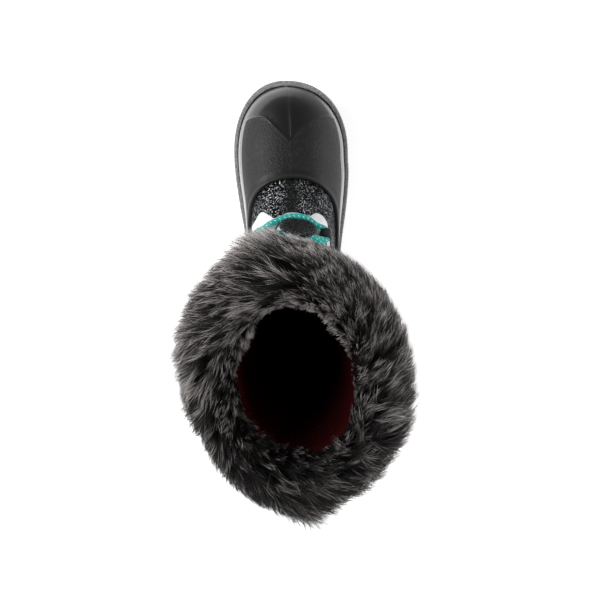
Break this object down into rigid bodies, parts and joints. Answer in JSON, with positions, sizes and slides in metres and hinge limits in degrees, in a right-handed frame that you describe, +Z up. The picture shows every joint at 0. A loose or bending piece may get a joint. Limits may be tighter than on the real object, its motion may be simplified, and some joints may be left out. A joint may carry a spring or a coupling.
{
  "type": "snow boot",
  "caption": "Child's winter boot for the right foot: lugged sole, moulded rubber lower part, laced textile upper with tongue and webbing loops, and a deep fur cuff.",
  "frame": {"origin": "on the floor under the middle of the heel, at the centre of the heel's flat tread", "axes": "+Z up from the floor, -Y towards the toe, +X towards the inner side of the foot"},
  "size_m": [0.1537, 0.2967, 0.2485],
  "materials": {
    "sole_rubber": "matt moulded rubber",
    "shell_rubber": "moulded rubber, smooth and stippled",
    "upper_fabric": "smooth white coated fabric",
    "glitter_fabric": "coarse glitter on a black ground",
    "lace_cord": "round braided cord with pale flecks",
    "pale_webbing": "ribbed webbing",
    "black_webbing": "ribbed webbing",
    "fleece": "short dark red pile",
    "fur": "long charcoal pile with silver grey tips"
  },
  "bodies": {
    "root": {"outsole": "sole_rubber", "shell": "shell_rubber", "upper": "upper_fabric", "tongue": "upper_fabric", "insole": "fleece", "fur_cuff": "fur", "lace_keeper": "glitter_fabric", "lace_bar": "lace_cord", "lace_cross_1": "lace_cord", "lace_cross_2": "lace_cord", "lace_cross_3": "lace_cord", "loop_inner_1": "pale_webbing", "loop_outer_1": "black_webbing", "loop_inner_2": "pale_webbing", "loop_outer_2": "black_webbing", "loop_inner_3": "pale_webbing", "loop_outer_3": "black_webbing", "loop_inner_4": "pale_webbing", "loop_outer_4": "black_webbing"}
  },
  "joints": []
}
